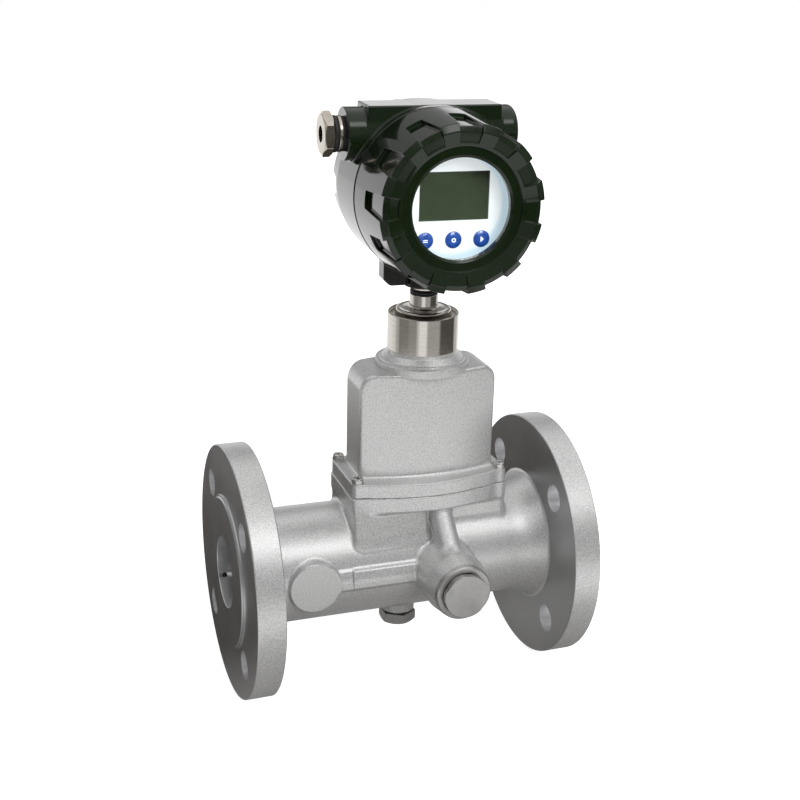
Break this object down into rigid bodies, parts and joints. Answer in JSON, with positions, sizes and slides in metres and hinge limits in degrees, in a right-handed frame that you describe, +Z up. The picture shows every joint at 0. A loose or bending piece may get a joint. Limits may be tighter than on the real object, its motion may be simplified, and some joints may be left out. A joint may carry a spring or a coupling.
{
  "type": "swirl flow meter",
  "caption": "Flanged in-line gas flow meter: cast body with a swirler and vortex probe, hooded wiring box and a turning display head with screwed covers.",
  "frame": {"origin": "centre of the inlet raised face, on the pipe axis", "axes": "+X along the pipe in the flow direction, +Z up through the neck, -Y towards the display side"},
  "size_m": [0.23, 0.165, 0.3787],
  "materials": {
    "cast_body": "sand-blasted light silver grey casting",
    "stainless": "polished turned stainless steel",
    "plug_metal": "satin machined metal",
    "screw_steel": "bright stainless screw",
    "green_enamel": "glossy very dark green enamel",
    "nickel": "bright nickel plate",
    "black_rubber": "smooth black rubber",
    "clear_glass": "clear flat window",
    "white_panel": "smooth white film",
    "lcd_face": "dark olive display glass",
    "blue_button": "glossy blue dome",
    "circuit_board": "green circuit board with solder resist",
    "post_brass": "nickel-free brass pillar",
    "terminal_plastic": "dark moulded plastic",
    "sensor_steel": "turned stainless steel"
  },
  "bodies": {
    "meter": {"meter_body": "cast_body", "swirler": "sensor_steel", "swirler_clip": "screw_steel", "flow_straightener": "sensor_steel", "straightener_clip": "screw_steel", "vortex_probe": "sensor_steel", "probe_clamp_ring": "sensor_steel", "sensor_plug": "plug_metal", "sensor_plug_seal": "black_rubber", "drain_plug": "plug_metal", "drain_plug_seal": "black_rubber", "hood_seal": "black_rubber", "hood_cover": "cast_body", "hood_screws": "screw_steel", "hood_washers": "screw_steel", "preamp_posts": "post_brass", "preamp_board": "circuit_board", "neck_sleeve": "stainless", "sleeve_lock_screw": "screw_steel"},
    "head": {"neck_stem": "stainless", "stem_seals": "black_rubber", "stem_clip": "screw_steel", "neck_seal": "black_rubber", "head_housing": "green_enamel", "display_panel": "white_panel", "lcd_module": "lcd_face", "display_board": "circuit_board", "panel_posts": "post_brass", "display_posts": "post_brass", "main_board": "circuit_board", "board_posts": "post_brass", "terminal_block": "terminal_plastic", "terminal_screws": "screw_steel", "gland_seal": "black_rubber", "gland_body": "nickel", "gland_ring": "black_rubber", "gland_nut": "nickel", "gland_insert": "black_rubber"},
    "front_seal": {"front_cover_seal": "black_rubber"},
    "front_cover": {"front_cover": "green_enamel", "window_gasket": "black_rubber", "window_glass": "clear_glass", "window_ring": "terminal_plastic"},
    "rear_seal": {"rear_cover_seal": "black_rubber"},
    "rear_cover": {"rear_cover": "green_enamel"},
    "left_button": {"left_button": "blue_button"},
    "middle_button": {"middle_button": "blue_button"},
    "right_button": {"right_button": "blue_button"}
  },
  "joints": [
    {"name": "head_swivel", "type": "hinge", "parent": "meter", "child": "head", "pos_m": [0.1314, 0, 0.158], "axis": [0, 0, 1], "range_deg": [-175, 175]},
    {"name": "front_cover_draw", "type": "slide", "parent": "head", "child": "front_seal", "axis": [-0.0506, -0.9987, 0], "range_m": [0, 0.01]},
    {"name": "front_cover_screw", "type": "hinge", "parent": "front_seal", "child": "front_cover", "pos_m": [0.12988, -0.02996, 0.244], "axis": [-0.0506, -0.9987, 0], "range_deg": [0, 1800]},
    {"name": "rear_cover_draw", "type": "slide", "parent": "head", "child": "rear_seal", "axis": [0.0506, 0.9987, 0], "range_m": [0, 0.01]},
    {"name": "rear_cover_screw", "type": "hinge", "parent": "rear_seal", "child": "rear_cover", "pos_m": [0.13292, 0.02996, 0.244], "axis": [0.0506, 0.9987, 0], "range_deg": [0, 1800]},
    {"name": "left_button_press", "type": "slide", "parent": "head", "child": "left_button", "axis": [0.0506, 0.9987, 0], "range_m": [0, 0.0007], "stiffness_N_per_m": 400, "springref_m": -0.001},
    {"name": "middle_button_press", "type": "slide", "parent": "head", "child": "middle_button", "axis": [0.0506, 0.9987, 0], "range_m": [0, 0.0007], "stiffness_N_per_m": 400, "springref_m": -0.001},
    {"name": "right_button_press", "type": "slide", "parent": "head", "child": "right_button", "axis": [0.0506, 0.9987, 0], "range_m": [0, 0.0007], "stiffness_N_per_m": 400, "springref_m": -0.001}
  ],
  "couplings": [
    {"joint": "front_cover_draw", "follows": "front_cover_screw", "m_per_rad": 0.00031831},
    {"joint": "rear_cover_draw", "follows": "rear_cover_screw", "m_per_rad": 0.00031831}
  ]
}
